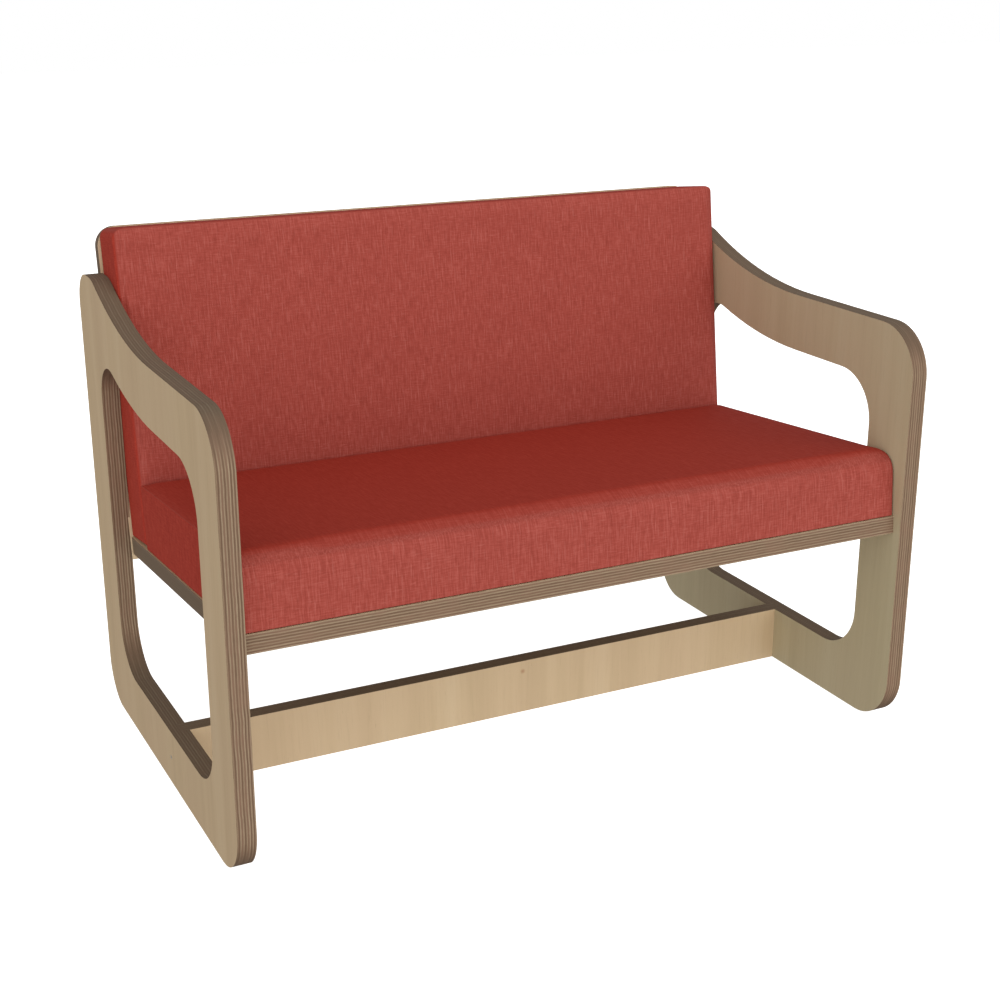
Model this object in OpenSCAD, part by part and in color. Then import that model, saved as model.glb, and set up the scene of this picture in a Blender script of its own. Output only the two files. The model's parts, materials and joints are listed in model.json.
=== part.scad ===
// Two-seat settee: two closed-loop plywood side frames, a tilted seat board, a reclined
// back board, a low stretcher, and two loose foam cushions in woven covers.
// X runs along the width, -Y is the front, +Z is up. The origin is on the floor at the
// centre of the footprint.

/* [Overall] */
// Overall width, outer face to outer face
settee_w = 1090; // [900:1:1400]
// Depth of a side frame
settee_d = 676; // [640:1:720]
// Thickness of the side frames, the seat board and the stretcher
board_t = 27; // [24:1:30]
// Thickness of the back board
back_board_t = 18; // [15:1:21]

/* [Side frame] */
// Height of the armrest
arm_h = 640; // [620:1:660]
// Height of the raised rear corner
crest_h = 706; // [690:1:720]
// Width of the armrest band, from its top to the opening
arm_band = 89.5; // [80:0.5:95]
// Width of the front leg
front_leg = 92; // [84:1:100]
// Width of the rear leg
rear_leg = 98; // [90:1:106]
// Height of the bottom rail
rail_h = 89; // [80:1:95]
// Radius of the rounded corners
corner_r = 75; // [65:1:76]
// Radius of the lower rear outer corner
heel_r = 65; // [50:1:75]
// Radius of the upper rear outer corner
crest_corner_r = 52; // [40:1:55]
// Radius of the long hollow curve where the armrest starts to climb
sweep_r = 700; // [620:1:740]
// Distance from the front at which the armrest starts to climb
sweep_y = 290; // [270:1:300]
// Radius of the hump at the end of the climb
hump_r = 80; // [70:1:90]
// Radius of the long hollow curve along the top of the opening
open_sweep_r = 720; // [690:1:750]
// Radius of the opening's upper rear tip
tip_r = 60; // [50:1:65]

/* [Seat] */
// Tilt of the seat board down towards the back, degrees
seat_tilt = 4.85; // [3:0.05:6]
// Setback of the seat board's top front edge from the front of the frames
seat_setback = 17; // [12:1:24]
// Height of the seat board's top front edge
seat_front_h = 349; // [340:1:360]
// Thickness of the seat cushion
seat_cushion_t = 100; // [80:1:110]
// Radius of the seat cushion's upper front edge
seat_nose_r = 28; // [15:1:35]

/* [Back] */
// Recline of the back board from upright, degrees
back_recline = 7.65; // [6:0.05:9]
// Distance from the front to the foot of the back board's front face
back_foot_y = 569; // [565:1:572]
// Height of the back board's lower edge
back_foot_h = 266; // [258:1:270]
// Length of the back board along its slope
back_board_len = 512; // [500:1:520]
// Depth of the groove that holds each end of the back board
back_groove = 2.5; // [1:0.5:6]
// Radius of the back board's upper corners
back_corner_r = 30; // [15:1:40]
// Thickness of the back cushion
back_cushion_t = 88; // [70:1:95]

/* [Stretcher] */
// Distance from the front to the stretcher's front face
stretcher_y = 304.5; // [280:0.5:330]
// Depth of the groove that holds each end of the stretcher
stretcher_groove = 13.5; // [10:0.5:14]

/* [Cushions] */
// Gap between each cushion end and the side frame
end_gap = 1.5; // [0.5:0.5:6]
// Thickness of the cover cloth
cover_t = 1.5; // [1:0.1:2.5]
// Radius of the back cushion's two long upper edges
edge_r = 4; // [2:1:8]
// Radius of the back cushion's two upper corners
back_cushion_corner_r = 12; // [8:1:20]
// Width of the hook-and-loop strips
strip_w = 25; // [20:1:40]
// Thickness of each hook or loop strip
strip_t = 1; // [0.8:0.1:1.4]

/* [Hidden] */

$fn = 96;
eps = 0.01;                                   // overrun that makes a cut clean
reach = 2000;                                 // longer than any part
half_w = settee_w / 2;
inner_half = half_w - board_t;                // centre to a frame's inner face
cushion_half = inner_half - end_gap;          // centre to a cushion's end
cushion_gap = 0.4;                            // clearance between a cushion and what it meets

// Side outline, worked out from the driving radii
sweep_z = arm_h + sweep_r;                    // centre height of the hollow curve
hump_z = crest_h - hump_r;                    // centre height of the hump
hump_y = sweep_y + sqrt(pow(sweep_r + hump_r, 2) - pow(sweep_z - hump_z, 2));
sweep_end_y = sweep_y + (hump_y - sweep_y) * sweep_r / (sweep_r + hump_r);
sweep_end_z = sweep_z + (hump_z - sweep_z) * sweep_r / (sweep_r + hump_r);
open_front = front_leg;
open_rear = settee_d - rear_leg;
open_top = arm_h - arm_band;
open_sweep_z = open_top + open_sweep_r;       // centre height of the opening's upper curve
tip_y = open_rear - tip_r;
tip_z = open_sweep_z - sqrt(pow(open_sweep_r + tip_r, 2) - pow(tip_y - sweep_y, 2));
tip_start_y = sweep_y + (tip_y - sweep_y) * open_sweep_r / (open_sweep_r + tip_r);
tip_start_z = open_sweep_z + (tip_z - open_sweep_z) * open_sweep_r / (open_sweep_r + tip_r);

// Where the seat board's top meets the back board, measured up the back board from its foot
seat_top_at_back = (seat_front_h - back_foot_h - (back_foot_y - seat_setback) * tan(seat_tilt))
                   / (cos(back_recline) + sin(back_recline) * tan(seat_tilt));
seat_board_rear = back_foot_y + seat_top_at_back * sin(back_recline);
back_cushion_foot = seat_top_at_back + 0.6;
back_cushion_len = back_board_len - back_cushion_foot - 1;

// Fasteners
screw_r = 2.25;                               // connecting screw, shank
screw_head_r = 3;                             // small trim head
screw_head_h = 3;
screw_len = 70;
socket_flats_r = 1.3;                         // corner radius of the six-sided driver socket
socket_depth = 1.8;
seat_screw_y = 28;                            // along the seat board from its front edge
seat_dowel_y = 60;
dowel_r = 4;
dowel_len = 30;
dowel_in_frame = 14;
back_dowel_rows = [120, 250, 380];            // up the back board from its foot
back_dowel_depth = 15;                        // into each frame, from the frame's inner face
back_screw_len = 60;
back_screw_xs = [-390, -130, 130, 390];
stretcher_mid_y = stretcher_y + board_t / 2;

// Hook-and-loop strips
seat_strip_ys = [70, 380];                    // along the seat board, to each strip's front edge
seat_strip_half = 420;
back_strip_zs = [120, 430];                   // up the back board, to each strip's lower edge
back_strip_half = 420;
zip_w = 6;
zip_t = 1;

birch = "#cdb58c";
ply_edge = "#8f7557";
red_cloth = "#a8463f";
steel = "#c9c9c6";
beech = "#d9bd8f";
foam_white = "#efe9d8";
tape_dark = "#5d1a17";

// ---- Frames of reference -------------------------------------------------------------

// Y measured back from the front of the side frames
module from_front() { translate([0, -settee_d / 2, 0]) children(); }

// Local Y runs back down the seat board's top face, local Z out of it
module on_seat() {
    from_front() translate([0, seat_setback, seat_front_h]) rotate([-seat_tilt, 0, 0]) children();
}

// Local Z runs up the back board's front face, local Y into it
module on_back() {
    from_front() translate([0, back_foot_y, back_foot_h]) rotate([-back_recline, 0, 0]) children();
}

// A side outline in Y and Z, thickened along X from x
module across(x, w) { translate([x, 0, 0]) rotate([90, 0, 90]) linear_extrude(w) children(); }

// ---- Side frame ----------------------------------------------------------------------

// The waste outside a rounded corner whose point is at p; sy and sz are the signs that
// point into the shape
module corner_waste(p, sy, sz, r) {
    difference() {
        translate([p[0] + (sy > 0 ? -1 : -r), p[1] + (sz > 0 ? -1 : -r)]) square(r + 1);
        translate([p[0] + sy * r, p[1] + sz * r]) circle(r);
    }
}

// A rectangle given by its low and high corners
module span(low, high) { translate(low) square([high[0] - low[0], high[1] - low[1]]); }

module frame_outer() {
    difference() {
        union() {
            span([0, 0], [settee_d, arm_h]);
            difference() {
                span([sweep_y, arm_h - 1], [sweep_end_y, sweep_end_z]);
                translate([sweep_y, sweep_z]) circle(sweep_r, $fn = 360);
            }
            intersection() {
                span([sweep_end_y - eps, arm_h - 1], [hump_y + eps, crest_h]);
                translate([hump_y, hump_z]) circle(hump_r);
            }
            span([hump_y, arm_h - 1], [settee_d, crest_h]);
        }
        corner_waste([0, 0], 1, 1, corner_r);
        corner_waste([0, arm_h], 1, -1, corner_r);
        corner_waste([settee_d, 0], -1, 1, heel_r);
        corner_waste([settee_d, crest_h], -1, -1, crest_corner_r);
    }
}

module frame_opening() {
    difference() {
        union() {
            span([open_front, rail_h], [open_rear, tip_z]);
            span([open_front, tip_z - eps], [tip_start_y, open_top]);
            difference() {
                span([sweep_y, open_top - 1], [tip_start_y, tip_start_z]);
                translate([sweep_y, open_sweep_z]) circle(open_sweep_r, $fn = 360);
            }
            intersection() {
                span([tip_start_y - eps, tip_z - eps], [open_rear, tip_z + tip_r]);
                translate([tip_y, tip_z]) circle(tip_r);
            }
        }
        corner_waste([open_front, rail_h], 1, 1, corner_r);
        corner_waste([open_front, open_top], 1, -1, corner_r);
        corner_waste([open_rear, rail_h], -1, 1, corner_r);
    }
}

// The right-hand frame, with its grooves, dowel holes and screw holes
module side_frame_blank() {
    difference() {
        from_front() across(inner_half, board_t) difference() {
            frame_outer();
            frame_opening();
        }
        stretcher_blank();
        back_panel();
        seat_screw_hole();
        stretcher_screw_hole();
        seat_dowel();
        for (z = back_dowel_rows) back_dowel(z);
    }
}

module side_frame_right() { color(birch) side_frame_blank(); }

module side_frame_left() { color(birch) mirror([1, 0, 0]) side_frame_blank(); }

// ---- Boards --------------------------------------------------------------------------

// Everything behind the back board's front face
module behind_back_face() {
    on_back() translate([-reach / 2, 0, -reach / 2]) cube([reach, reach, reach]);
}

module seat_board() {
    color(ply_edge) difference() {
        on_seat() translate([-inner_half, 0, -board_t]) cube([2 * inner_half, seat_board_rear + 40, board_t]);
        behind_back_face();
        seat_hook_blanks();
        both_sides() seat_screw_hole();
        both_sides() seat_dowel();
        for (x = back_screw_xs) back_screw_shape(x);
    }
}

// The back board's outline, without its holes
module back_panel() {
    half = inner_half + back_groove;
    on_back() rotate([90, 0, 0]) translate([0, 0, -back_board_t]) linear_extrude(back_board_t)
        difference() {
            span([-half, 0], [half, back_board_len]);
            corner_waste([-half, back_board_len], 1, -1, back_corner_r);
            corner_waste([half, back_board_len], -1, -1, back_corner_r);
        }
}

module back_board() {
    color(birch) difference() {
        back_panel();
        back_hook_blanks();
        for (x = back_screw_xs) back_screw_shape(x);
        both_sides() for (z = back_dowel_rows) back_dowel(z);
    }
}

// The stretcher stands on the floor between the bottom rails, flush with their tops
module stretcher_blank() {
    half = inner_half + stretcher_groove;
    from_front() translate([-half, stretcher_y, 0]) cube([2 * half, board_t, rail_h]);
}

module stretcher() {
    color(birch) difference() {
        stretcher_blank();
        both_sides() stretcher_screw_hole();
    }
}

// ---- Fasteners -----------------------------------------------------------------------

// The child and its mirror image on the left side
module both_sides() {
    children();
    mirror([1, 0, 0]) children();
}

// A screw driven along -X from x = 0: a small tapered head and a plain shank
module screw_body(len) {
    rotate([0, -90, 0]) {
        cylinder(h = screw_head_h, r1 = screw_head_r, r2 = screw_r);
        cylinder(h = len, r = screw_r);
    }
}

// The six-sided driver socket in a head at x = 0
module screw_socket() {
    translate([eps, 0, 0]) rotate([0, -90, 0]) cylinder(h = socket_depth, r = socket_flats_r, $fn = 6);
}

module at_seat_screw() {
    on_seat() translate([half_w, seat_screw_y, -board_t / 2]) children();
}

module seat_screw_hole() { at_seat_screw() screw_body(screw_len); }

module seat_screw() {
    color(steel) at_seat_screw() difference() {
        screw_body(screw_len);
        screw_socket();
    }
}

module seat_screw_right() { seat_screw(); }

module seat_screw_left() { mirror([1, 0, 0]) seat_screw(); }

module at_stretcher_screw() {
    from_front() translate([half_w, stretcher_mid_y, rail_h / 2]) children();
}

module stretcher_screw_hole() { at_stretcher_screw() screw_body(screw_len); }

module stretcher_screw() {
    color(steel) at_stretcher_screw() difference() {
        screw_body(screw_len);
        screw_socket();
    }
}

module stretcher_screw_right() { stretcher_screw(); }

module stretcher_screw_left() { mirror([1, 0, 0]) stretcher_screw(); }

// Screws from the rear of the back board into the seat board's rear edge
module at_back_screw(x) {
    on_back() translate([x, back_board_t, seat_top_at_back - board_t / 2]) rotate([0, 0, 90]) children();
}

module back_screw_shape(x) { at_back_screw(x) screw_body(back_screw_len); }

module back_to_seat_screws() {
    color(steel) for (x = back_screw_xs) at_back_screw(x) difference() {
        screw_body(back_screw_len);
        screw_socket();
    }
}

// Blind dowel between a side frame and the seat board's end
module seat_dowel() {
    on_seat() translate([inner_half + dowel_in_frame, seat_dowel_y, -board_t / 2])
        rotate([0, -90, 0]) cylinder(h = dowel_len, r = dowel_r);
}

module seat_dowels() { color(beech) both_sides() seat_dowel(); }

// Blind dowel between a side frame and the back board's end, z up the back board
module back_dowel(z) {
    on_back() translate([inner_half + back_dowel_depth, back_board_t / 2, z])
        rotate([0, -90, 0]) cylinder(h = dowel_len + 10, r = dowel_r);
}

module back_dowels() { color(beech) both_sides() for (z = back_dowel_rows) back_dowel(z); }

// ---- Hook-and-loop strips ------------------------------------------------------------

module seat_strip(y, low) {
    on_seat() translate([-seat_strip_half, y, low]) cube([2 * seat_strip_half, strip_w, strip_t]);
}

module seat_hook_blanks() { for (y = seat_strip_ys) seat_strip(y, -strip_t); }

module seat_hook_strips() { color(tape_dark) seat_hook_blanks(); }

module seat_loop_blanks() { for (y = seat_strip_ys) seat_strip(y, cushion_gap); }

module seat_loop_strips() { color(tape_dark) seat_loop_blanks(); }

module back_strip(z, low) {
    on_back() translate([-back_strip_half, low, z]) cube([2 * back_strip_half, strip_t, strip_w]);
}

module back_hook_blanks() { for (z = back_strip_zs) back_strip(z, 0); }

module back_hook_strips() { color(tape_dark) back_hook_blanks(); }

module back_loop_blanks() { for (z = back_strip_zs) back_strip(z, -cushion_gap - strip_t); }

module back_loop_strips() { color(tape_dark) back_loop_blanks(); }

// ---- Cushions ------------------------------------------------------------------------

// Everything behind the back cushion's front face, less a small gap
module behind_back_cushion(inset) {
    on_back() translate([-reach / 2, -back_cushion_t - cushion_gap - inset, -reach / 2]) cube([reach, reach, reach]);
}

// Seat cushion grown inwards by inset: a slab with a rounded nose, cut to meet the back cushion
module seat_slab(inset) {
    low = cushion_gap + inset;
    high = seat_cushion_t - inset;
    difference() {
        on_seat() across(-cushion_half + inset, 2 * (cushion_half - inset)) difference() {
            span([inset, low], [seat_board_rear, high]);
            corner_waste([inset, high], 1, -1, seat_nose_r - inset);
        }
        behind_back_cushion(inset);
    }
}

module seat_cushion_foam() { color(foam_white) seat_slab(cover_t); }

module seat_cushion_cover() {
    color(red_cloth) difference() {
        seat_slab(0);
        seat_slab(cover_t);
        seat_loop_blanks();
        seat_zip_blank();
    }
}

// Zip let into the cover's rear face
module seat_zip_blank() {
    z = (seat_top_at_back + seat_cushion_t / 2);
    on_back() translate([-cushion_half + 40, -back_cushion_t - cushion_gap - zip_t, z])
        cube([2 * cushion_half - 80, zip_t, zip_w]);
}

module seat_zip() { color(tape_dark) seat_zip_blank(); }

// Back cushion grown inwards by inset, standing on the seat board behind the seat cushion
module back_slab(inset) {
    front = -back_cushion_t + inset;
    rear = -cushion_gap - inset;
    low = back_cushion_foot + inset;
    high = back_cushion_foot + back_cushion_len - inset;
    half = cushion_half - inset;
    small = edge_r - inset;
    difference() {
        on_back() across(-half, 2 * half) difference() {
            span([front, low], [rear, high]);
            corner_waste([front, high], 1, -1, small);
            corner_waste([rear, high], -1, -1, small);
        }
        both_sides() on_back() rotate([90, 0, 0]) translate([0, 0, -1]) linear_extrude(back_cushion_t + 2)
            corner_waste([half, high], -1, -1, back_cushion_corner_r - inset);
    }
}

module back_cushion_foam() { color(foam_white) back_slab(cover_t); }

module back_cushion_cover() {
    color(red_cloth) difference() {
        back_slab(0);
        back_slab(cover_t);
        back_loop_blanks();
        back_zip_blank();
    }
}

// Zip let into the cover's lower face
module back_zip_blank() {
    on_back() translate([-cushion_half + 40, -back_cushion_t / 2, back_cushion_foot])
        cube([2 * cushion_half - 80, zip_w, zip_t]);
}

module back_zip() { color(tape_dark) back_zip_blank(); }

side_frame_left();
side_frame_right();
seat_board();
back_board();
stretcher();
seat_screw_left();
seat_screw_right();
stretcher_screw_left();
stretcher_screw_right();
back_to_seat_screws();
seat_dowels();
back_dowels();
seat_cushion_foam();
seat_cushion_cover();
seat_zip();
seat_hook_strips();
seat_loop_strips();
back_cushion_foam();
back_cushion_cover();
back_zip();
back_hook_strips();
back_loop_strips();
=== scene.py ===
# Two-seat settee: plywood frames with layered edges, heathered red cushions.
import json
import math

import bmesh
import bpy
import numpy as np
from mathutils import Matrix, Vector

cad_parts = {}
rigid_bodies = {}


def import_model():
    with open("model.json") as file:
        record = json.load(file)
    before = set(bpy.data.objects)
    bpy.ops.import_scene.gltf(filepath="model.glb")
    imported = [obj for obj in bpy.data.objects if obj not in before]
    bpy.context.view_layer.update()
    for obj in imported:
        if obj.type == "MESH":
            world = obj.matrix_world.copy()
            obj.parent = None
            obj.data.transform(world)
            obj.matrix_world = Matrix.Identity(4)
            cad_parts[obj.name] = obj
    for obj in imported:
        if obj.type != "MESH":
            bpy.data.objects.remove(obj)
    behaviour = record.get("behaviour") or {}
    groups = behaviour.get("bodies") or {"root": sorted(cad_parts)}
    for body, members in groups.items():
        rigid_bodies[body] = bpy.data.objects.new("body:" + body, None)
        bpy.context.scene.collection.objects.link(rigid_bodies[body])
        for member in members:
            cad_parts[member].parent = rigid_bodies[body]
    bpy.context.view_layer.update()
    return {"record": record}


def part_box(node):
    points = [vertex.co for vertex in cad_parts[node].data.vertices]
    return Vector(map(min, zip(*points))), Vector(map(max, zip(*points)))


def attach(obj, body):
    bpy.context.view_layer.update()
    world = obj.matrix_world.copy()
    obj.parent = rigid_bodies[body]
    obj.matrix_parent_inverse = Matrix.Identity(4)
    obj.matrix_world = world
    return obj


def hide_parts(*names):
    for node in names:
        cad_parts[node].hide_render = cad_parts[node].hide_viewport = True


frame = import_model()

# ---- Named values, metres unless said otherwise ---------------------------------------

# Colours, linear
VENEER = ((0.30, (0.556, 0.403, 0.235)), (0.50, (0.600, 0.440, 0.260)), (0.72, (0.636, 0.479, 0.295)))
VENEER_CLOUD = (0.600, 0.425, 0.262)
VENEER_FIBRE = (0.44, 0.31, 0.19)
VENEER_FLECK = (0.36, 0.24, 0.14)
KNOT_BROWN = (0.40, 0.20, 0.10)
RIGHT_PAINTED_LIGHT_TINT = (0.88, 1.01, 1.07)     # painted light: the right frame's veneer is made a little greyer, cancelling the red light the cushions throw on it
BACK_PAINTED_LIGHT_TINT = (1.08, 1.12, 1.16)      # painted light: the back board's veneer is made a little paler, lifting the shade and red cast that the cushion throws on it
LIGHT_PLIES = ((0.272, 0.180, 0.106), (0.365, 0.262, 0.165))
DARK_PLIES = ((0.158, 0.088, 0.048), (0.228, 0.130, 0.077))
EDGE_STREAK = (0.130, 0.074, 0.044)
EDGE_PATCH = (0.260, 0.145, 0.090)
EDGE_FINISH = (0.118, 0.088, 0.056)
GLUE_LINE = (0.085, 0.050, 0.030)
CLOTH_RED = (0.365, 0.062, 0.044)
CLOTH_DARK = (0.300, 0.048, 0.033)
CLOTH_LIGHT = (0.428, 0.089, 0.067)
CLOTH_SLUB = (0.520, 0.150, 0.120)
CLOTH_BLOTCH = (0.290, 0.040, 0.028)
TOP_PAINTED_SHADE = (0.96, 0.50, 0.37)       # painted shade: the cloth is made darker and redder where it lies flat, as if only its front caught a whitish sheen
END_PAINTED_SHADE = (1.05, 0.54, 0.39)       # painted shade: the same darker, redder cloth on its ends
HOOK_RED = (0.085, 0.012, 0.010)
LOOP_RED = (0.160, 0.022, 0.018)
ZIP_RED = (0.120, 0.016, 0.014)

# Wood
EDGE_SOAK = 0.60                    # darkening of edges that take up most finish
PLY_COUNT = 13                      # veneers in the thick boards
THIN_PLY_COUNT = 9                  # veneers in the back board
KNOT_ALONG, KNOT_RISE = 0.527, 0.80     # place of the stretcher's pin knot, as shares of its face
KNOT_SIZE = 0.0050

# Cloth
WEAVE_REPEAT = 0.0026               # two threads of the weave
TAPE_RIB = 0.0016                   # rib spacing of the tapes

# Cushion mesh. Edge radii go front bottom, rear bottom, rear top, front top in the side outline.
SEAT_EDGES = (0.002, 0.003, 0.004, 0.030)
BACK_EDGES = (0.003, 0.003, 0.005, 0.005)
# The radii round an end's rim go bottom, rear, top, front.
SEAT_END_EDGES = (0.001, 0.003, 0.004, 0.003)
BACK_END_EDGES = (0.003, 0.003, 0.016, 0.009)
LEAST_RADIUS = 0.0008
STATION_GAP = 0.0115                # spacing of the mesh along the width
OUTLINE_GAP = 0.0105                # spacing of the mesh round the outline
ARC_STEPS = 5                       # mesh steps round each corner of the outline
END_STEPS = 6                       # mesh steps round the rim of an end
CUSHION_TUCK = 0.0006               # how far a cushion starts inside its CAD slab
FOAM_INSET = 0.008                  # foam core inside the cover
END_REACH = 0.0004                  # how far the rim of an end passes the CAD slab
END_CROWN = 0.0006                  # how far the middle of an end stands past its rim
END_LEDGE = 0.0025                  # flat band round the rim of an end
PROFILE_SLACK = 0.002               # reach of the search for the slab's upper and lower rear edges

# Cushion pressure
PRESSURE = 4.0
PRESSURE_FRAMES = 20
PUFF_CAP = 0.0045                   # how far the pressure may move the cloth
BACK_FACE_GIVE = 0.004              # how far the back cushion's face may crown above the seat
BACK_FACE_RISE = 0.090              # height over which that crown grows
BACK_FACE_START = 0.002             # how far below the seat cushion's top it starts

# Light: each lobe is a direction and a strength
LIGHT_BASE = 0.12                   # light from every side
LIGHT_LOBES = (((0.05, -1.0, 0.22), 1.59), ((-1.0, -0.1, 0.1), 0.67), ((0.0, 0.0, 1.0), 0.38),
               ((0.7, 0.7, 0.0), 0.22))
LOBE_POWER = 2.0
FLOOR_HALF = 14.0
FLOOR_DROP = 0.0005                 # keeps the floor clear of the frames' feet

# Camera
CAMERA_AZIMUTH = -26.87             # degrees, from straight in front towards the left
CAMERA_ELEVATION = 19.44            # degrees
CAMERA_ROLL = 0.127                 # degrees
CAMERA_SENSOR = 36.0                # millimetres
CAMERA_LENS = 59.6                  # millimetres
CAMERA_SHIFT = (-0.01557, 0.02434)
CAMERA_PLACE = Vector((-1.0801, -2.1952, 1.1789))

# Directions
joint_axis = {j["name"]: Vector(j["axis"]) for j in frame["record"]["behaviour"]["joints"]}
SEAT_UP = joint_axis["seat_cushion_lift"].normalized()
BACK_UP = joint_axis["back_cushion_lift"].normalized()
X_AXIS, Y_AXIS, Z_AXIS = Vector((1, 0, 0)), Vector((0, 1, 0)), Vector((0, 0, 1))


# ---- Shader helpers -------------------------------------------------------------------

class Nodes:
    """A node tree, with short calls for the nodes used here."""

    def __init__(self, tree):
        self.tree = tree
        self.place = self.tree.nodes.new("ShaderNodeTexCoord")

    def node(self, kind, **settings):
        made = self.tree.nodes.new(kind)
        for key, value in settings.items():
            setattr(made, key, value)
        return made

    def feed(self, socket, value):
        if isinstance(value, bpy.types.NodeSocket):
            self.tree.links.new(value, socket)
        else:
            socket.default_value = value

    def math(self, operation, a, b=0.0):
        made = self.node("ShaderNodeMath", operation=operation)
        self.feed(made.inputs[0], a)
        self.feed(made.inputs[1], b)
        return made.outputs[0]

    def times(self, a, b):
        return self.math("MULTIPLY", a, b)

    def plus(self, a, b):
        return self.math("ADD", a, b)

    def fade(self, a, b, factor):
        """a where factor is 0, b where it is 1."""
        rest = self.math("SUBTRACT", 1.0, factor)
        return self.plus(self.times(a, rest), self.times(b, factor))

    def dot(self, a, direction):
        made = self.node("ShaderNodeVectorMath", operation="DOT_PRODUCT")
        self.feed(made.inputs[0], a)
        self.feed(made.inputs[1], tuple(direction))
        return made.outputs["Value"]

    def combine(self, x, y, z):
        made = self.node("ShaderNodeCombineXYZ")
        for socket, value in zip(made.inputs, (x, y, z)):
            self.feed(socket, value)
        return made.outputs[0]

    def noise(self, vector, scale=1.0, detail=2.0, rough=0.5):
        made = self.node("ShaderNodeTexNoise")
        self.feed(made.inputs["Vector"], vector)
        self.feed(made.inputs["Scale"], scale)
        self.feed(made.inputs["Detail"], detail)
        self.feed(made.inputs["Roughness"], rough)
        return made.outputs[0]

    def white(self, value):
        made = self.node("ShaderNodeTexWhiteNoise", noise_dimensions="1D")
        self.feed(made.inputs["W"], value)
        return made.outputs["Value"]

    def ramp(self, value, *stops):
        made = self.node("ShaderNodeValToRGB")
        self.feed(made.inputs[0], value)
        band = made.color_ramp
        while len(band.elements) < len(stops):
            band.elements.new(0.5)
        for element, (place, colour) in zip(band.elements, stops):
            element.position = place
            element.color = (*colour, 1.0)
        return made.outputs[0]

    def range(self, value, low, high, to_low=0.0, to_high=1.0):
        made = self.node("ShaderNodeMapRange", clamp=True)
        self.feed(made.inputs["Value"], value)
        ends = {"From Min": low, "From Max": high, "To Min": to_low, "To Max": to_high}
        for name, number in ends.items():
            made.inputs[name].default_value = number
        return made.outputs[0]

    def mix(self, factor, a, b, blend="MIX"):
        made = self.node("ShaderNodeMix", data_type="RGBA", blend_type=blend)
        self.feed(made.inputs["Factor"], factor)
        self.feed(made.inputs["A"], (*a, 1.0) if isinstance(a, tuple) else a)
        self.feed(made.inputs["B"], (*b, 1.0) if isinstance(b, tuple) else b)
        return made.outputs["Result"]


class Shader(Nodes):
    """A material with its Principled BSDF."""

    def __init__(self, name):
        self.material = bpy.data.materials.new(name)
        self.material.use_nodes = True
        super().__init__(self.material.node_tree)
        self.bsdf = self.tree.nodes["Principled BSDF"]

    def bump(self, height, distance, strength):
        made = self.node("ShaderNodeBump")
        self.feed(made.inputs["Height"], height)
        made.inputs["Distance"].default_value = distance
        made.inputs["Strength"].default_value = strength
        self.feed(self.bsdf.inputs["Normal"], made.outputs[0])

    def set(self, **values):
        for key, value in values.items():
            self.feed(self.bsdf.inputs[key.replace("_", " ")], value)


# ---- Materials ------------------------------------------------------------------------

def face_veneer(s, place, along, across, seed, knot, tint):
    """Long soft figure, fine fibre and short dark flecks, all along the grain.

    knot is the place of a small knot. Also gives the fibre.
    """
    def figure(run, run_scale, side, side_scale, offset, detail, rough=0.5):
        vector = s.combine(s.times(run, run_scale), s.times(side, side_scale), seed + offset)
        return s.noise(vector, 1.0, detail, rough)

    warp = figure(along, 1.3, across, 5.0, 0.0, 3.0)
    drift = s.plus(across, s.times(warp, 0.05))
    bands = figure(along, 0.9, drift, 26.0, 0.0, 4.0, 0.6)
    fibre = figure(along, 14.0, drift, 420.0, 0.0, 3.0, 0.6)
    cloud = figure(along, 3.2, across, 7.0, 4.0, 3.0)
    fleck = figure(along, 60.0, across, 900.0, 0.0, 1.0)
    veneer = s.ramp(bands, *VENEER)
    veneer = s.mix(s.range(cloud, 0.35, 0.70, 0.0, 0.45), veneer, VENEER_CLOUD)
    veneer = s.mix(s.range(fibre, 0.55, 0.80, 0.0, 0.30), veneer, VENEER_FIBRE)
    veneer = s.mix(s.range(fleck, 0.72, 0.80, 0.0, 0.35), veneer, VENEER_FLECK)
    # tint paints light into the veneer: a greyer or paler cast that offsets the shade and red light the
    # cushions throw on that board
    if tint:
        veneer = s.mix(1.0, veneer, tint, "MULTIPLY")
    if knot:
        gap = s.node("ShaderNodeVectorMath", operation="SUBTRACT")
        s.feed(gap.inputs[0], place)
        gap.inputs[1].default_value = knot
        reach = s.node("ShaderNodeVectorMath", operation="LENGTH")
        s.feed(reach.inputs[0], gap.outputs[0])
        ring = s.range(reach.outputs["Value"], KNOT_SIZE * 0.25, KNOT_SIZE, 0.75, 0.0)
        veneer = s.mix(ring, veneer, KNOT_BROWN)
    return veneer, fibre


def layered_edge(s, place, layers, through, along, across, main_end, cross_end, seed):
    """Plies of crossed grain: light where the fibres run along the edge, dark where they end.

    Also gives the saw streaks and the glue lines.
    """
    patch = s.noise(place, 26.0, 2.0)
    waver = s.times(s.math("SUBTRACT", patch, 0.5), 0.9)
    layer = s.plus(layers, waver)
    index = s.math("FLOOR", layer)
    inside = s.math("FRACT", layer)
    odd = s.math("FLOORED_MODULO", index, 2.0)
    tone = s.white(s.plus(index, seed * 13.0))
    end_grain = s.fade(main_end, cross_end, odd)
    streak = s.noise(s.combine(s.times(through, 1500.0), s.times(along, 70.0), s.times(across, 70.0)),
                     1.0, 3.0, 0.6)
    edge = s.mix(s.range(end_grain, 0.15, 0.75), s.mix(tone, *LIGHT_PLIES), s.mix(tone, *DARK_PLIES))
    edge = s.mix(s.range(streak, 0.40, 0.75, 0.0, 0.45), edge, EDGE_STREAK)
    edge = s.mix(s.range(patch, 0.50, 0.75, 0.0, 0.45), edge, EDGE_PATCH)
    edge = s.mix(s.range(main_end, 0.30, 0.95, 0.0, EDGE_SOAK), edge, EDGE_FINISH)
    glue = s.range(s.math("ABSOLUTE", s.math("SUBTRACT", inside, 0.5)), 0.38, 0.50, 0.0, 0.28)
    return s.mix(glue, edge, GLUE_LINE), streak, glue


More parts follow.
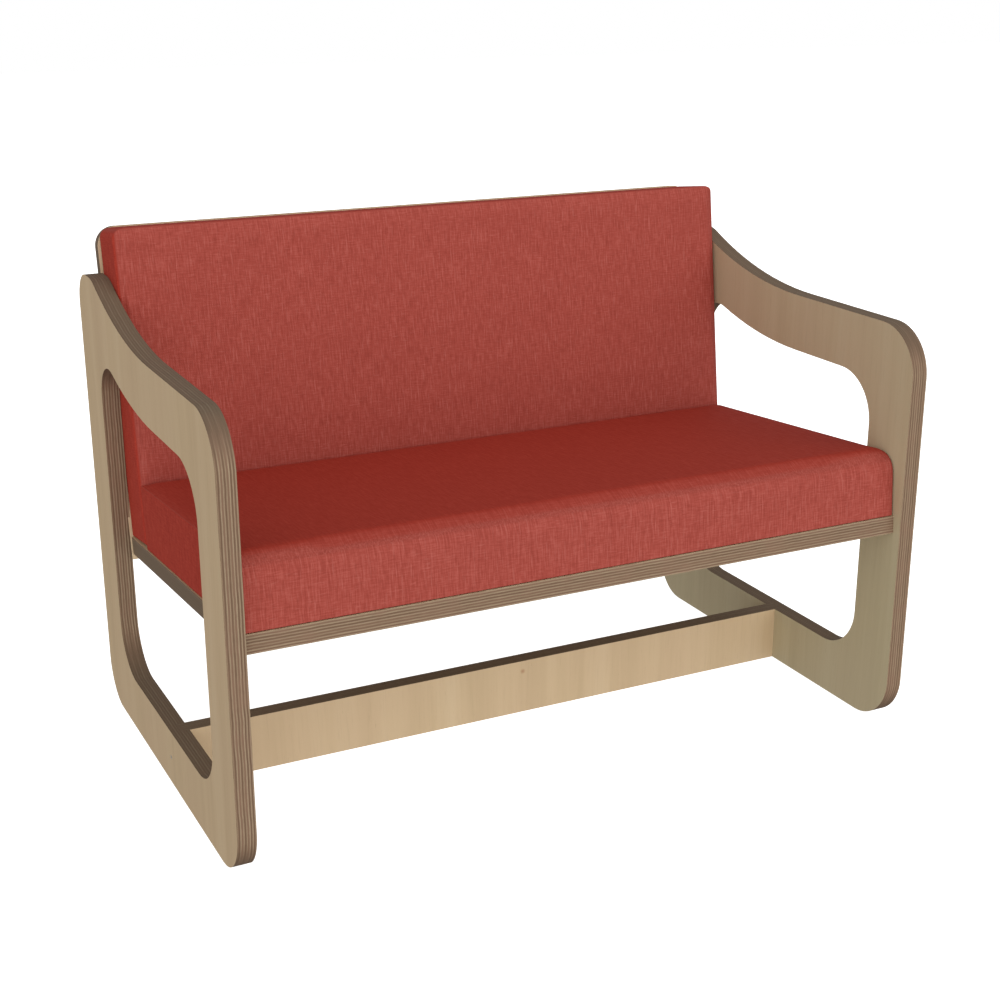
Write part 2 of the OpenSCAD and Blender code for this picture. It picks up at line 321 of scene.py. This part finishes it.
def plywood(name, thickness_dir, start, thickness, grain_dir, plies, seed, knot=None, tint=None):
    """Birch plywood: veneer grain on the faces, layered plies on every edge.

    thickness_dir points through the board, and start is the board's lower face along it.
    """
    s = Shader(name)
    place = s.place.outputs["Object"]
    normal = s.place.outputs["Normal"]
    across_dir = thickness_dir.cross(grain_dir)
    through = s.dot(place, thickness_dir)
    along = s.plus(s.dot(place, grain_dir), seed * 1.7)
    across = s.plus(s.dot(place, across_dir), seed * 0.37)
    layers = s.times(s.math("SUBTRACT", through, start), plies / thickness)
    main_end = s.math("ABSOLUTE", s.dot(normal, grain_dir))
    cross_end = s.math("ABSOLUTE", s.dot(normal, across_dir))
    on_face = s.range(s.math("ABSOLUTE", s.dot(normal, thickness_dir)), 0.70, 0.80)

    veneer, fibre = face_veneer(s, place, along, across, seed, knot, tint)
    edge, streak, glue = layered_edge(s, place, layers, through, along, across, main_end, cross_end, seed)
    rough_face = s.range(fibre, 0.3, 0.8, 0.46, 0.60)
    rough_edge = s.range(streak, 0.3, 0.8, 0.62, 0.82)
    s.set(Base_Color=s.mix(on_face, edge, veneer), Roughness=s.fade(rough_edge, rough_face, on_face),
          Specular_IOR_Level=0.40)
    s.bump(s.fade(s.math("SUBTRACT", streak, s.times(glue, 0.8)), fibre, on_face), 0.00025, 0.6)
    return s.material


def woven_cloth(name, up, seed):
    """Heathered linen weave in red. up is the direction of the warp on the front face."""
    s = Shader(name)
    place = s.place.outputs["Object"]
    normal = s.place.outputs["Normal"]
    depth_dir = X_AXIS.cross(up)
    x = s.dot(place, X_AXIS)
    u = s.dot(place, up)
    d = s.dot(place, depth_dir)
    face_x = s.range(s.math("ABSOLUTE", s.dot(normal, X_AXIS)), 0.55, 0.80)
    face_u = s.range(s.math("ABSOLUTE", s.dot(normal, up)), 0.55, 0.80)

    # On the ends the weft runs along the depth, and on the top and the bottom the warp does
    weft_run = s.fade(x, d, face_x)
    warp_run = s.fade(u, d, face_u)

    def threads(run, side, run_scale, side_scale, offset, detail=2.0):
        vector = s.combine(s.times(run, run_scale), s.times(side, side_scale), seed + offset)
        return s.noise(vector, 1.0, detail, 0.6)

    weft = threads(weft_run, warp_run, 70.0, 520.0, 0.0)
    warp = threads(warp_run, weft_run, 42.0, 480.0, 9.0)
    slub_weft = threads(weft_run, warp_run, 60.0, 380.0, 3.0, 1.0)
    slub_warp = threads(warp_run, weft_run, 34.0, 360.0, 6.0, 1.0)
    blotch = threads(weft_run, warp_run, 14.0, 11.0, 12.0, 3.0)
    heather = s.plus(s.times(weft, 0.40), s.times(warp, 0.60))
    slub = s.math("MAXIMUM", s.times(slub_weft, 0.93), slub_warp)

    colour = s.ramp(heather, (0.36, CLOTH_DARK), (0.50, CLOTH_RED), (0.64, CLOTH_LIGHT))
    colour = s.mix(s.range(slub, 0.58, 0.76, 0.0, 0.38), colour, CLOTH_SLUB)
    colour = s.mix(s.range(blotch, 0.40, 0.72, 0.0, 0.18), colour, CLOTH_BLOTCH)
    calm = s.mix(s.times(face_u, 0.5), colour, CLOTH_RED)
    # Painted shade: the top and the ends are made darker and redder than the front, as if only the front
    # caught a whitish sheen
    flat_top = s.range(s.dot(normal, up), 0.72, 0.97)
    colour = s.mix(flat_top, colour, s.mix(1.0, calm, TOP_PAINTED_SHADE, "MULTIPLY"))
    colour = s.mix(face_x, colour, s.mix(1.0, colour, END_PAINTED_SHADE, "MULTIPLY"))
    s.set(Base_Color=colour, Roughness=s.range(heather, 0.3, 0.7, 0.85, 0.72), Specular_IOR_Level=0.22)

    # Plain weave, over and under
    pitch = 2.0 * math.pi / WEAVE_REPEAT
    over = s.times(s.math("SINE", s.times(weft_run, pitch)), s.math("SINE", s.times(warp_run, pitch)))
    s.bump(s.plus(s.times(over, 0.35), s.plus(heather, s.times(slub, 0.5))), 0.00035, 0.55)
    return s.material


def foam_stuff():
    """Open-pored cream foam."""
    s = Shader("upholstery_foam")
    pores = s.noise(s.place.outputs["Object"], 700.0, 3.0, 0.7)
    colour = s.ramp(pores, (0.35, (0.60, 0.55, 0.42)), (0.60, (0.86, 0.81, 0.68)))
    s.set(Base_Color=colour, Roughness=0.95)
    s.bump(pores, 0.0006, 0.8)
    return s.material


def zinc():
    """Zinc-plated steel of the screws."""
    s = Shader("zinc_plate")
    grain = s.noise(s.place.outputs["Object"], 1800.0, 2.0)
    colour = s.ramp(grain, (0.30, (0.62, 0.61, 0.57)), (0.70, (0.80, 0.79, 0.76)))
    s.set(Base_Color=colour, Metallic=0.85, Roughness=s.range(grain, 0.3, 0.7, 0.28, 0.42))
    s.bump(grain, 0.00005, 0.5)
    return s.material


def beech():
    """Dowel beech, its fibre along X."""
    s = Shader("beech")
    x, y, z = [s.dot(s.place.outputs["Object"], axis) for axis in (X_AXIS, Y_AXIS, Z_AXIS)]
    fibre = s.noise(s.combine(s.times(x, 60.0), s.times(y, 900.0), s.times(z, 900.0)), 1.0, 3.0)
    s.set(Base_Color=s.ramp(fibre, (0.3, (0.50, 0.33, 0.18)), (0.7, (0.70, 0.52, 0.33))), Roughness=0.6)
    s.bump(fibre, 0.0001, 0.5)
    return s.material


def woven_tape(name, base, lift):
    """Hook, loop or zip tape: fine ribs across a dark red band."""
    s = Shader(name)
    place = s.place.outputs["Object"]
    nap = s.noise(place, 1500.0, 2.0, 0.7)
    ribs = s.math("SINE", s.times(s.dot(place, X_AXIS), 2.0 * math.pi / TAPE_RIB))
    s.set(Base_Color=s.ramp(nap, (0.3, tuple(v * 0.6 for v in base)), (0.7, base)), Roughness=0.9)
    s.bump(s.plus(nap, s.times(ribs, 0.3)), lift, 0.8)
    return s.material


def give(node, material):
    """Puts a material in every slot of a CAD node's object."""
    piece = bpy.data.objects[node]
    if not piece.material_slots:
        piece.data.materials.append(material)
    for holder in piece.material_slots:
        holder.material = material


# ---- Plywood pieces -------------------------------------------------------------------

def mesh_points(node):
    piece = bpy.data.objects[node]
    return [piece.matrix_world @ v.co for v in piece.data.vertices]


def extent(node, direction):
    """Lowest and highest reach of a CAD node along a direction."""
    reach = [p.dot(direction) for p in mesh_points(node)]
    return min(reach), max(reach)


def finish_plywood():
    for seed, node in enumerate(("side_frame_left", "side_frame_right"), 1):
        low, high = extent(node, X_AXIS)
        # The right frame gets painted light: its veneer is greyed to cancel the cushions' red bounce
        give(node, plywood(f"{node}_birch", X_AXIS, low, high - low, Z_AXIS, PLY_COUNT, seed * 3.1,
                           tint=RIGHT_PAINTED_LIGHT_TINT if node == "side_frame_right" else None))
    low, high = extent("stretcher", Y_AXIS)
    left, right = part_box("stretcher")
    knot_place = (left[0] + KNOT_ALONG * (right[0] - left[0]), low, KNOT_RISE * right[2])
    give("stretcher", plywood("stretcher_birch", Y_AXIS, low, high - low, Z_AXIS, PLY_COUNT, 2.3,
                              knot=knot_place))
    low, high = extent("seat_board", SEAT_UP)
    give("seat_board", plywood("seat_board_birch", SEAT_UP, low, high - low, X_AXIS, PLY_COUNT, 5.9))
    through = X_AXIS.cross(BACK_UP)
    low, high = extent("back_board", through)
    # The back board gets painted light: its veneer is made paler to lift the cushion's shade and red cast
    give("back_board", plywood("back_board_birch", through, low, high - low, X_AXIS, THIN_PLY_COUNT, 7.7,
                               tint=BACK_PAINTED_LIGHT_TINT))


# ---- Cushions -------------------------------------------------------------------------

class Slab:
    """A cushion's side outline, measured on its CAD cover along two directions."""

    def __init__(self, node, up):
        self.up = up
        self.deep = X_AXIS.cross(up) * -1.0
        if self.deep.y < 0:
            self.deep = -self.deep
        points = [(p.dot(self.deep), p.dot(self.up)) for p in mesh_points(node)]
        self.half = extent(node, X_AXIS)[1]
        self.low = min(p[1] for p in points)
        self.high = max(p[1] for p in points)
        self.front = min(p[0] for p in points)
        self.rear_low = max(p[0] for p in points if p[1] < self.low + PROFILE_SLACK)
        self.rear_high = max(p[0] for p in points if p[1] > self.high - PROFILE_SLACK)

    def corners(self):
        return [(self.front, self.low), (self.rear_low, self.low),
                (self.rear_high, self.high), (self.front, self.high)]

    def world(self, x, d, u):
        return X_AXIS * x + self.deep * d + self.up * u


def outline(corners, radii, insets, counts):
    """The rounded outline of a convex shape listed anticlockwise, each side moved in by its inset."""
    sides = []
    for i, start in enumerate(corners):
        a = Vector(start)
        run = (Vector(corners[(i + 1) % 4]) - a).normalized()
        sides.append((a + Vector((-run.y, run.x)) * insets[i], run))
    arcs = []
    for i in range(4):
        (p, r), (q, s) = sides[i - 1], sides[i]
        turn = r.x * s.y - r.y * s.x
        reach = ((q.x - p.x) * s.y - (q.y - p.y) * s.x) / turn
        radius = max(radii[i] - max(insets[i - 1], insets[i]), LEAST_RADIUS)
        bend = math.atan2(turn, r.dot(s))
        centre = p + r * (reach - radius * math.tan(bend / 2.0)) + Vector((-r.y, r.x)) * radius
        begin = math.atan2(-r.x, r.y)
        turns = [begin + bend * k / ARC_STEPS for k in range(ARC_STEPS + 1)]
        arcs.append([centre + Vector((math.cos(a), math.sin(a))) * radius for a in turns])
    points = []
    for i in range(4):
        points += arcs[i]
        a, b = arcs[i][-1], arcs[(i + 1) % 4][0]
        points += [a.lerp(b, k / counts[i]) for k in range(1, counts[i])]
    return points


def close_end(mesh, ring, counts, crown):
    """Fills one end with a grid spanned between the four sides of its ring."""
    starts = [ARC_STEPS // 2]
    for count in counts:
        starts.append(starts[-1] + ARC_STEPS + count)
    looped = ring + ring[:starts[0] + 1]
    bottom, rear, top, front = [looped[a:b + 1] for a, b in zip(starts, starts[1:])]
    top.reverse()
    front.reverse()
    across, tall = len(bottom) - 1, len(rear) - 1
    grid = [front]
    for i in range(1, across):
        u = i / across
        column = [bottom[i]]
        for j in range(1, tall):
            v = j / tall
            place = bottom[i].co * (1 - v) + top[i].co * v + front[j].co * (1 - u) + rear[j].co * u
            low_edge = bottom[0].co * (1 - u) + bottom[-1].co * u
            high_edge = top[0].co * (1 - u) + top[-1].co * u
            place -= low_edge * (1 - v) + high_edge * v
            column.append(mesh.verts.new(place + X_AXIS * crown * 16 * u * (1 - u) * v * (1 - v)))
        grid.append(column + [top[i]])
    grid.append(rear)
    for a, b in zip(grid, grid[1:]):
        for j in range(tall):
            mesh.faces.new((a[j], b[j], b[j + 1], a[j + 1]))


def cushion_block(name, slab, edges, end_edges, tuck):
    """A closed slab with rounded edges, lofted along X, with a crowned grid at each end."""
    corners = slab.corners()
    lengths = [(Vector(corners[(i + 1) % 4]) - Vector(corners[i])).length for i in range(4)]
    counts = [max(3, round(length / OUTLINE_GAP)) for length in lengths[:2]] * 2
    half = slab.half + END_REACH + CUSHION_TUCK - tuck
    biggest = max(end_edges)
    spans = round(2 * (half - biggest) / STATION_GAP)
    middle = [(biggest - half) + 2 * (half - biggest) * k / spans for k in range(spans + 1)]
    turns = [math.pi / 2 * k / END_STEPS for k in range(1, END_STEPS + 1)]
    bend = [half - biggest + biggest * math.sin(turn) for turn in turns]
    stations = [(x, 0.0) for x in [-x for x in reversed(bend)] + middle + bend]
    stations = [(-half, END_LEDGE)] + stations + [(half, END_LEDGE)]
    mesh = bmesh.new()
    loops = []
    for x, deeper in stations:
        insets = []
        for radius in end_edges:
            past = max(0.0, abs(x) - (half - radius))
            insets.append(tuck + deeper + radius - math.sqrt(max(0.0, radius ** 2 - past ** 2)))
        ring = outline(corners, edges, insets, counts)
        loops.append([mesh.verts.new(slab.world(x, p.x, p.y)) for p in ring])
    for a, b in zip(loops, loops[1:]):
        for i in range(len(a)):
            j = (i + 1) % len(a)
            mesh.faces.new((a[i], a[j], b[j], b[i]))
    close_end(mesh, loops[0], counts, -END_CROWN)
    close_end(mesh, loops[-1], counts, END_CROWN)
    bmesh.ops.recalc_face_normals(mesh, faces=mesh.faces)
    data = bpy.data.meshes.new(name)
    mesh.to_mesh(data)
    mesh.free()
    made = bpy.data.objects.new(name, data)
    bpy.context.scene.collection.objects.link(made)
    return made


def apply_modifiers(piece):
    graph = bpy.context.evaluated_depsgraph_get()
    graph.update()
    data = bpy.data.meshes.new_from_object(piece.evaluated_get(graph))
    piece.modifiers.clear()
    old = piece.data
    piece.data = data
    bpy.data.meshes.remove(old)


def per_point(piece, what="co"):
    """The piece's points, or its point normals, one row each."""
    flat = np.empty(len(piece.data.vertices) * 3)
    piece.data.vertices.foreach_get(what, flat)
    return flat.reshape(-1, 3)


def place_points(piece, points):
    piece.data.vertices.foreach_set("co", points.ravel())
    piece.data.update()


def inflate(piece, cap):
    """Blows the cushion up with cloth pressure. No point moves inwards, or out by more than cap.

    The ends stand against the side frames, so they keep the crown they are built with.
    """
    before = per_point(piece)
    outward = per_point(piece, "normal")
    cloth = piece.modifiers.new("cloth", "CLOTH")
    settings = cloth.settings
    settings.quality = 5
    settings.mass = 0.35
    settings.tension_stiffness = 18
    settings.compression_stiffness = 18
    settings.shear_stiffness = 8
    settings.bending_stiffness = 2.5
    settings.use_pressure = True
    settings.uniform_pressure_force = PRESSURE
    settings.effector_weights.gravity = 0.0
    cloth.collision_settings.use_collision = False
    cloth.point_cache.frame_start = 1
    cloth.point_cache.frame_end = PRESSURE_FRAMES
    scene = bpy.context.scene
    for number in range(1, PRESSURE_FRAMES + 1):
        scene.frame_set(number)
    apply_modifiers(piece)
    scene.frame_set(1)
    swell = np.sum((per_point(piece) - before) * outward, axis=1, keepdims=True)
    swell = swell * (1.0 - np.abs(outward[:, :1]))
    place_points(piece, before + outward * cap * np.tanh(np.maximum(swell, 0.0) / cap))


def keep_inside(piece, planes):
    """Pushes points back behind planes, each given by a point and an outward normal."""
    points = per_point(piece)
    for origin, normal in planes:
        n = np.array(normal)
        over = (points - np.array(origin)) @ n
        points = points - np.maximum(over, 0.0)[:, None] * n
    place_points(piece, points)


def smooth_shade(piece):
    piece.data.polygons.foreach_set("use_smooth", [True] * len(piece.data.polygons))
    piece.data.update()


def subdivide(piece):
    modifier = piece.modifiers.new("subdivision", "SUBSURF")
    modifier.levels = 1
    modifier.render_levels = 1


def make_cushion(name, node, foam_node, up, body, edges, end_edges, resting):
    """One cushion: its cloth around its foam core. resting gives the planes that it rests against."""
    slab = Slab(node, up)
    piece = cushion_block(name, slab, edges, end_edges, CUSHION_TUCK)
    inflate(piece, PUFF_CAP)
    keep_inside(piece, resting(slab) + end_planes(slab))
    subdivide(piece)
    smooth_shade(piece)
    piece.data.materials.append(woven_cloth(f"{name}_linen", up, slab.high * 10.0))
    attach(piece, body)
    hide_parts(node)

    core = cushion_block(f"{name}_core", slab, edges, end_edges, FOAM_INSET)
    smooth_shade(core)
    core.data.materials.append(foam_stuff())
    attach(core, body)
    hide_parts(foam_node)
    return slab, piece


def end_planes(slab):
    """The cushion's ends stay just clear of the side frames."""
    return [(X_AXIS * (slab.half + END_REACH + END_CROWN) * side, X_AXIS * side) for side in (-1, 1)]


def seat_planes(slab):
    """Where the seat cushion rests on the seat board, and where it meets the back cushion."""
    base = slab.world(0, 0, slab.low + CUSHION_TUCK)
    rear = slab.world(0, slab.rear_low, slab.low)
    slope = (slab.world(0, slab.rear_high, slab.high) - rear).normalized()
    rear_out = slope.cross(X_AXIS)
    if rear_out.y < 0:
        rear_out = -rear_out
    return [(base, -slab.up), (rear - rear_out * CUSHION_TUCK, rear_out)]


def back_planes(slab):
    """Where the back cushion stands on the seat board, and where it rests on the back board."""
    return [(slab.world(0, 0, slab.low + CUSHION_TUCK), -slab.up),
            (slab.world(0, slab.rear_low - CUSHION_TUCK, slab.low), slab.deep)]


def flatten_behind_seat(piece, slab, seat_slab):
    """The back cushion's face stays flat where the seat cushion stands against it."""
    points = per_point(piece)
    deep = points @ np.array(slab.deep)
    rise = points @ np.array(seat_slab.up) - seat_slab.high
    grown = np.clip((rise + BACK_FACE_START) / BACK_FACE_RISE, 0.0, 1.0) ** 0.7
    allowed = slab.front - BACK_FACE_GIVE * grown
    short = np.maximum(allowed - deep, 0.0)
    place_points(piece, points + short[:, None] * np.array(slab.deep))


def make_cushions():
    seat_slab, _ = make_cushion("seat_cushion_cloth", "seat_cushion_cover", "seat_cushion_foam", SEAT_UP,
                                "seat_cushion", SEAT_EDGES, SEAT_END_EDGES, seat_planes)
    back_slab, back = make_cushion("back_cushion_cloth", "back_cushion_cover", "back_cushion_foam", BACK_UP,
                                   "back_cushion", BACK_EDGES, BACK_END_EDGES, back_planes)
    flatten_behind_seat(back, back_slab, seat_slab)


# ---- Small pieces ---------------------------------------------------------------------

def finish_small_pieces():
    steel = zinc()
    for node in ("seat_screw_left", "seat_screw_right", "stretcher_screw_left", "stretcher_screw_right",
                 "back_to_seat_screws"):
        give(node, steel)
    pegs = beech()
    for node in ("seat_dowels", "back_dowels"):
        give(node, pegs)
    hooks = woven_tape("hook_tape", HOOK_RED, 0.0005)
    loops = woven_tape("loop_tape", LOOP_RED, 0.0007)
    zips = woven_tape("zip_tape", ZIP_RED, 0.0003)
    for node in ("seat_hook_strips", "back_hook_strips"):
        give(node, hooks)
    for node in ("seat_loop_strips", "back_loop_strips"):
        give(node, loops)
    for node in ("seat_zip", "back_zip"):
        give(node, zips)


# ---- Camera, light and floor ----------------------------------------------------------

def make_camera():
    data = bpy.data.cameras.new("camera")
    data.sensor_width = CAMERA_SENSOR
    data.lens = CAMERA_LENS
    data.shift_x, data.shift_y = CAMERA_SHIFT
    camera = bpy.data.objects.new("camera", data)
    bpy.context.scene.collection.objects.link(camera)
    azimuth = math.radians(CAMERA_AZIMUTH)
    elevation = math.radians(CAMERA_ELEVATION)
    back = Vector((math.sin(azimuth) * math.cos(elevation), -math.cos(azimuth) * math.cos(elevation),
                   math.sin(elevation)))
    turn = back.to_track_quat("Z", "Y") @ Matrix.Rotation(math.radians(CAMERA_ROLL), 3, "Z").to_quaternion()
    camera.matrix_world = Matrix.Translation(CAMERA_PLACE) @ turn.to_matrix().to_4x4()
    bpy.context.scene.camera = camera


def make_light():
    """Light from all round with soft lobes. The camera itself sees plain white."""
    world = bpy.data.worlds.new("studio")
    bpy.context.scene.world = world
    world.use_nodes = True
    sky = Nodes(world.node_tree)
    background = world.node_tree.nodes["Background"]
    background.inputs["Color"].default_value = (1, 1, 1, 1)
    level = LIGHT_BASE
    for direction, strength in LIGHT_LOBES:
        facing = sky.dot(sky.place.outputs["Generated"], Vector(direction).normalized())
        lobe = sky.math("POWER", sky.math("MAXIMUM", facing, 0.0), LOBE_POWER)
        level = sky.plus(level, sky.times(lobe, strength))
    camera_ray = sky.node("ShaderNodeLightPath").outputs["Is Camera Ray"]
    sky.feed(background.inputs["Strength"], sky.math("MAXIMUM", camera_ray, level))
    bpy.context.scene.view_settings.view_transform = "Standard"


def make_floor():
    """A plain white sweep, bright enough to show no shadow."""
    data = bpy.data.meshes.new("floor")
    corners = [(x * FLOOR_HALF, y * FLOOR_HALF, 0) for x, y in ((-1, -1), (1, -1), (1, 1), (-1, 1))]
    data.from_pydata(corners, [], [(0, 1, 2, 3)])
    floor = bpy.data.objects.new("floor", data)
    bpy.context.scene.collection.objects.link(floor)
    floor.location.z = -FLOOR_DROP
    floor.visible_diffuse = False
    floor.visible_glossy = False
    floor.visible_shadow = False
    s = Shader("pale_floor")
    s.set(Base_Color=(0.80, 0.80, 0.80, 1.0), Roughness=0.9, Specular_IOR_Level=0.0)
    s.set(Emission_Color=(1.0, 1.0, 1.0, 1.0), Emission_Strength=1.0)
    data.materials.append(s.material)


make_camera()
make_light()
make_floor()
finish_plywood()
finish_small_pieces()
make_cushions()
